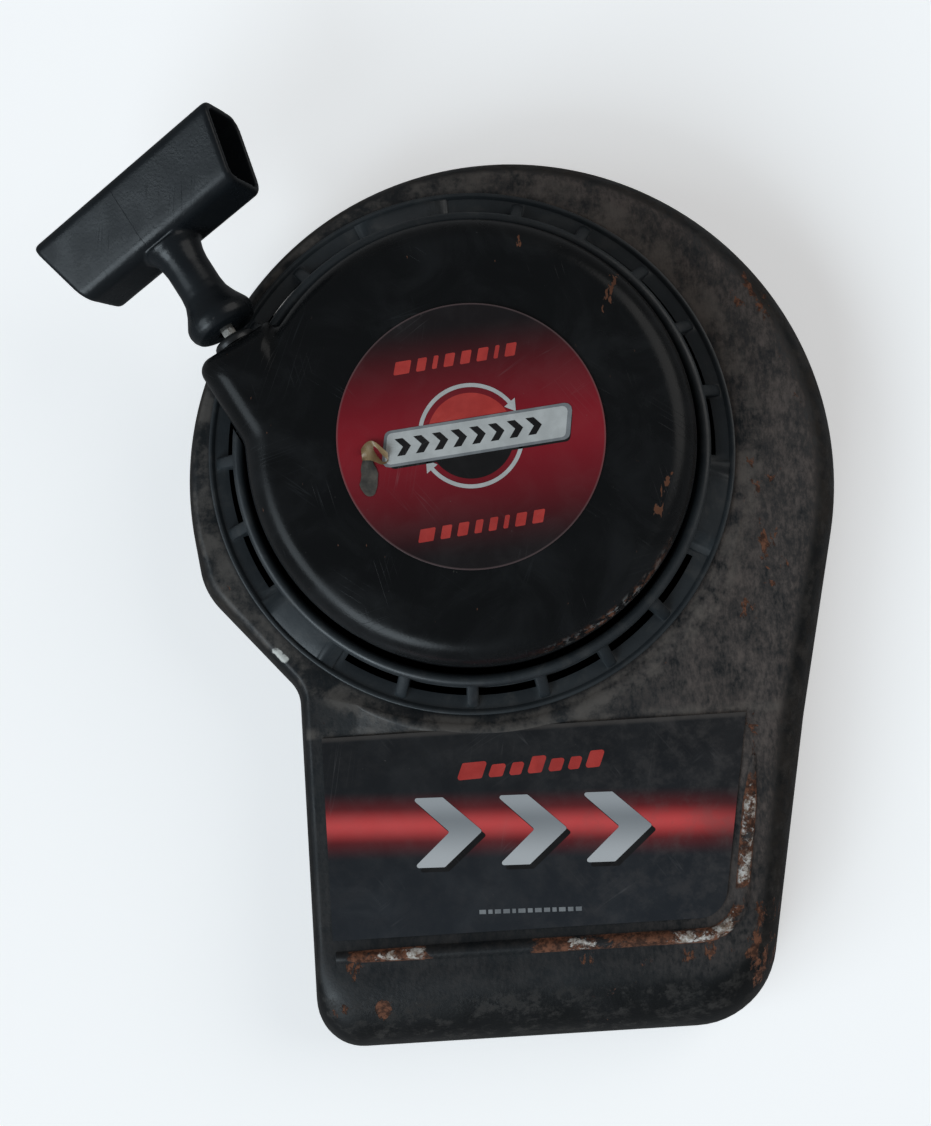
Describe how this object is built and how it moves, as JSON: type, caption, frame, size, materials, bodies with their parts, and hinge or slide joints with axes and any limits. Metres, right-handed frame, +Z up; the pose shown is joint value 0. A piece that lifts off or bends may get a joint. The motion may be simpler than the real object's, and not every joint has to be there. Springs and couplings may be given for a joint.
{
  "type": "recoil starter",
  "caption": "Pull-rope recoil starter in a round steel cup on its sheet-metal engine blower housing, with a vented intake ring and a hollow T-shaped pull grip.",
  "frame": {"origin": "on the plane of the shroud's open rim, below the middle of the part's bounding box", "axes": "+Z up along the starter's spin axis, out of the starter cup; +Y from the label panel towards the round end; +X to the right seen from above with the rope grip at the upper left"},
  "size_m": [0.2724, 0.318, 0.0859],
  "materials": {
    "shroud_paint": "dull black paint, dusty, chipped and rusty along the folds",
    "cup_paint": "satin black paint with fine scratches and worn edges",
    "ring_plastic": "satin black moulded plastic",
    "grip_plastic": "semi-gloss black moulded plastic",
    "black_nylon": "worn black nylon",
    "grey_nylon": "grey moulded nylon",
    "rope": "braided off-white rope, slightly soiled",
    "label_film": "printed vinyl film, black to red",
    "spring_steel": "blued spring strip",
    "pawl_steel": "hardened stamped steel",
    "bare_steel": "turned or stamped bare steel",
    "plated_steel": "zinc plated"
  },
  "bodies": {
    "housing": {"blower_housing": "shroud_paint", "air_intake_ring": "ring_plastic", "starter_cup": "cup_paint", "cup_rivet_1": "plated_steel", "cup_rivet_2": "plated_steel", "cup_rivet_3": "plated_steel", "rope_eyelet": "black_nylon", "centre_post": "bare_steel", "friction_spring": "bare_steel", "brake_washer": "plated_steel", "centre_screw": "plated_steel", "recoil_spring": "spring_steel", "round_label": "label_film", "panel_label": "label_film", "rope_lead": "rope"},
    "pulley": {"rope_pulley": "grey_nylon", "rope_coil": "rope", "rope_anchor_knot": "rope", "pawl_pivot_a": "plated_steel", "pawl_pivot_b": "plated_steel"},
    "guide": {"pawl_guide_plate": "bare_steel"},
    "pawl_first": {"pawl_a": "pawl_steel"},
    "pawl_second": {"pawl_b": "pawl_steel"},
    "rope_end": {"rope_end_knot": "rope"},
    "grip": {"handle_grip": "grip_plastic", "handle_washer": "plated_steel"}
  },
  "joints": [
    {"name": "pulley_spin", "type": "hinge", "parent": "housing", "child": "pulley", "pos_m": [0.0074, 0.04454, 0.05], "axis": [0, 0, -1], "range_deg": [0, 1800], "stiffness_Nm_per_rad": 0.012, "springref_deg": -687.55, "deforming": ["recoil_spring"]},
    {"name": "handle_pull", "type": "slide", "parent": "housing", "child": "rope_end", "axis": [-0.4848, 0.8746, 0], "range_m": [0, 1.24], "deforming": ["rope_lead"]},
    {"name": "handle_twist", "type": "hinge", "parent": "rope_end", "child": "grip", "pos_m": [-0.07143, 0.08774, 0.0615], "axis": [-0.4848, 0.8746, 0], "continuous": true},
    {"name": "guide_turn", "type": "hinge", "parent": "pulley", "child": "guide", "pos_m": [0.0074, 0.04454, 0.05], "axis": [0, 0, 1], "range_deg": [0, 40]},
    {"name": "pawl_a_swing", "type": "hinge", "parent": "pulley", "child": "pawl_first", "pos_m": [0.02948, 0.05258, 0.0535], "axis": [0, 0, 1], "range_deg": [0, 36]},
    {"name": "pawl_b_swing", "type": "hinge", "parent": "pulley", "child": "pawl_second", "pos_m": [-0.01468, 0.0365, 0.0535], "axis": [0, 0, 1], "range_deg": [0, 36]}
  ],
  "couplings": [
    {"joint": "handle_pull", "follows": "pulley_spin", "m_per_rad": 0.0392},
    {"joint": "pawl_a_swing", "follows": "guide_turn", "ratio": 0.9},
    {"joint": "pawl_b_swing", "follows": "guide_turn", "ratio": 0.9}
  ]
}
